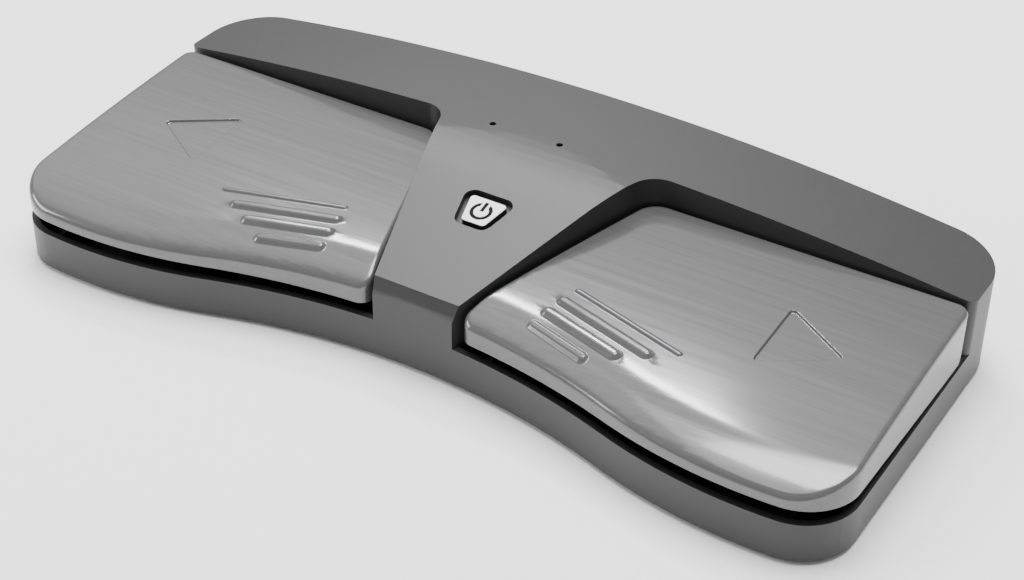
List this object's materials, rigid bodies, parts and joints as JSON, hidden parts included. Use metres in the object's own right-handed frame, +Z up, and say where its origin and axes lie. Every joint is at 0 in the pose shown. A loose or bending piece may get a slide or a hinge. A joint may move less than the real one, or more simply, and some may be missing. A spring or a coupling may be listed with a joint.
{
  "type": "wireless page turner pedal",
  "caption": "Low foot-operated page turner with left and right pedals hinged in a bowed housing, a raised middle console, a power button and status lights.",
  "frame": {"origin": "on the floor under the middle of the footprint, level with the undersides of the rubber feet", "axes": "+X to the right along the width, +Y towards the ridge at the rear, +Z up"},
  "size_m": [0.28, 0.1253, 0.0418],
  "materials": {
    "housing_plastic": "satin",
    "base_plastic": "matte",
    "brushed_aluminium": "brushed",
    "carrier_plastic": "matte",
    "screw_steel": "machined",
    "rod_steel": "polished",
    "black_rubber": "matte",
    "board_green": "satin",
    "switch_black": "matte",
    "plunger_orange": "gloss",
    "lead_white": "satin",
    "plug_cream": "satin",
    "button_white": "satin",
    "symbol_black": "satin",
    "pipe_dark": "gloss",
    "led_white": "gloss",
    "can_metal": "satin",
    "battery_grey": "satin",
    "pad_foam": "matte",
    "wire_red": "satin"
  },
  "bodies": {
    "base": {"upper_housing": "housing_plastic", "base_plate": "base_plastic", "housing_screws": "screw_steel", "rubber_feet": "black_rubber", "left_hinge_rod": "rod_steel", "right_hinge_rod": "rod_steel", "left_return_spring": "rod_steel", "right_return_spring": "rod_steel", "left_bumpers": "black_rubber", "right_bumpers": "black_rubber", "left_rest_pads": "black_rubber", "right_rest_pads": "black_rubber", "left_switch_board": "board_green", "right_switch_board": "board_green", "left_pedal_switch": "switch_black", "right_pedal_switch": "switch_black", "left_flat_lead": "lead_white", "right_flat_lead": "lead_white", "left_lead_plug": "plug_cream", "right_lead_plug": "plug_cream", "button_guide": "base_plastic", "power_switch": "switch_black", "light_pipes": "pipe_dark", "status_leds": "led_white", "main_board": "board_green", "board_screws": "screw_steel", "radio_module": "can_metal", "usb_socket": "can_metal", "battery": "battery_grey", "battery_pad": "pad_foam", "battery_lead": "wire_red", "battery_plug": "plug_cream"},
    "left_pedal": {"left_pedal_plate": "brushed_aluminium", "left_pedal_carrier": "carrier_plastic", "left_pedal_screws": "screw_steel"},
    "right_pedal": {"right_pedal_plate": "brushed_aluminium", "right_pedal_carrier": "carrier_plastic", "right_pedal_screws": "screw_steel"},
    "power_button": {"power_button": "button_white", "power_symbol": "symbol_black", "power_plunger": "plunger_orange"},
    "left_plunger": {"left_switch_plunger": "plunger_orange"},
    "right_plunger": {"right_switch_plunger": "plunger_orange"}
  },
  "joints": [
    {"name": "left_pedal_hinge", "type": "hinge", "parent": "base", "child": "left_pedal", "pos_m": [-0.086, 0.022, 0.0103], "axis": [1, 0, 0], "range_deg": [0, 2.3], "stiffness_Nm_per_rad": 6, "springref_deg": -1.72, "deforming": ["left_return_spring"]},
    {"name": "right_pedal_hinge", "type": "hinge", "parent": "base", "child": "right_pedal", "pos_m": [0.086, 0.022, 0.0103], "axis": [1, 0, 0], "range_deg": [0, 2.3], "stiffness_Nm_per_rad": 6, "springref_deg": -1.72, "deforming": ["right_return_spring"]},
    {"name": "power_button_slide", "type": "slide", "parent": "base", "child": "power_button", "axis": [0, -0.2315, 0.9728], "range_m": [-0.0005, 0], "stiffness_N_per_m": 800, "springref_m": 0.0005},
    {"name": "left_plunger_slide", "type": "slide", "parent": "base", "child": "left_plunger", "axis": [0, 0, -1], "range_m": [0, 0.00115]},
    {"name": "right_plunger_slide", "type": "slide", "parent": "base", "child": "right_plunger", "axis": [0, 0, -1], "range_m": [0, 0.00115]}
  ],
  "couplings": [
    {"joint": "left_plunger_slide", "follows": "left_pedal_hinge", "m_per_rad": 0.027},
    {"joint": "right_plunger_slide", "follows": "right_pedal_hinge", "m_per_rad": 0.027}
  ]
}
